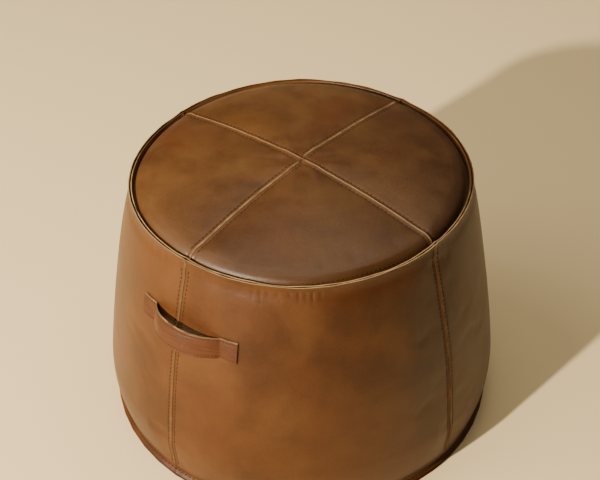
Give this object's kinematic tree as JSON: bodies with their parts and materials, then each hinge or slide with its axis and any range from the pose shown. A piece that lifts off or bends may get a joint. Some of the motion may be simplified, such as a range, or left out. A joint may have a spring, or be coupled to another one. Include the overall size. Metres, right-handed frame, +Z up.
{
  "type": "leather pouf",
  "caption": "Round stuffed leather floor pouf with a cross-seamed top, raised raw-edge seams, a strap carry handle on one side and a zipped base.",
  "frame": {"origin": "centre of the base, on the floor plane, on the axis of the round body", "axes": "+Z up along the body's axis; the carry handle is on the -Y side and the seams are on the X and Y axes"},
  "size_m": [0.5494, 0.5494, 0.391],
  "materials": {
    "cover_leather": "waxed pull-up leather, smooth with soft mottling, light raw cut edges",
    "handle_leather": "waxed leather strap with light raw cut edges and stitching",
    "base_leather": "plain dark brown leather, flesh side in",
    "seam_tape": "woven cotton reinforcing tape",
    "liner_cloth": "plain unbleached cotton",
    "core_foam": "firm upholstery foam",
    "wadding": "polyester wadding",
    "zip_cloth": "woven dark brown zip tape",
    "zip_nylon": "dark brown nylon coil",
    "zip_metal": "antique brass, satin"
  },
  "bodies": {
    "cover": {"top_panel_front_left": "cover_leather", "top_panel_front_right": "cover_leather", "top_panel_rear_left": "cover_leather", "top_panel_rear_right": "cover_leather", "side_panel_front_left": "cover_leather", "side_panel_front_right": "cover_leather", "side_panel_rear_left": "cover_leather", "side_panel_rear_right": "cover_leather", "handle_end_left": "handle_leather", "handle_end_right": "handle_leather", "base_panel": "base_leather", "zip_binding": "base_leather", "side_seam_tape_front": "seam_tape", "top_seam_tape_front": "seam_tape", "side_seam_tape_right": "seam_tape", "top_seam_tape_right": "seam_tape", "side_seam_tape_rear": "seam_tape", "top_seam_tape_rear": "seam_tape", "side_seam_tape_left": "seam_tape", "top_seam_tape_left": "seam_tape", "handle_patch_left": "seam_tape", "handle_patch_right": "seam_tape", "liner_side": "liner_cloth", "liner_top": "liner_cloth", "liner_base": "liner_cloth", "fill_core": "core_foam", "fill_wrap": "wadding", "fill_top_pad": "wadding", "fill_base_pad": "wadding", "zip_tape_front": "zip_cloth", "zip_coil_front": "zip_nylon", "zip_tape_rear": "zip_cloth", "zip_coil_rear": "zip_nylon", "zip_stop_left": "zip_metal", "zip_stop_right": "zip_metal"},
    "handle_loop": {"handle_strap": "handle_leather"},
    "zip_slider": {"zip_slider": "zip_metal"},
    "zip_pull": {"zip_pull": "zip_metal"}
  },
  "joints": [
    {"name": "handle_lift", "type": "hinge", "parent": "cover", "child": "handle_loop", "pos_m": [0.01337, -0.25515, 0.2675], "axis": [-0.9986, -0.0523, 0], "range_deg": [-14, 22], "stiffness_Nm_per_rad": 0.12},
    {"name": "zip_slide", "type": "slide", "parent": "cover", "child": "zip_slider", "axis": [1, 0, 0], "range_m": [0, 0.3]},
    {"name": "zip_pull_swing", "type": "hinge", "parent": "zip_slider", "child": "zip_pull", "pos_m": [-0.147, 0.12, 0.0053], "axis": [0, 1, 0], "range_deg": [0, 150]}
  ]
}
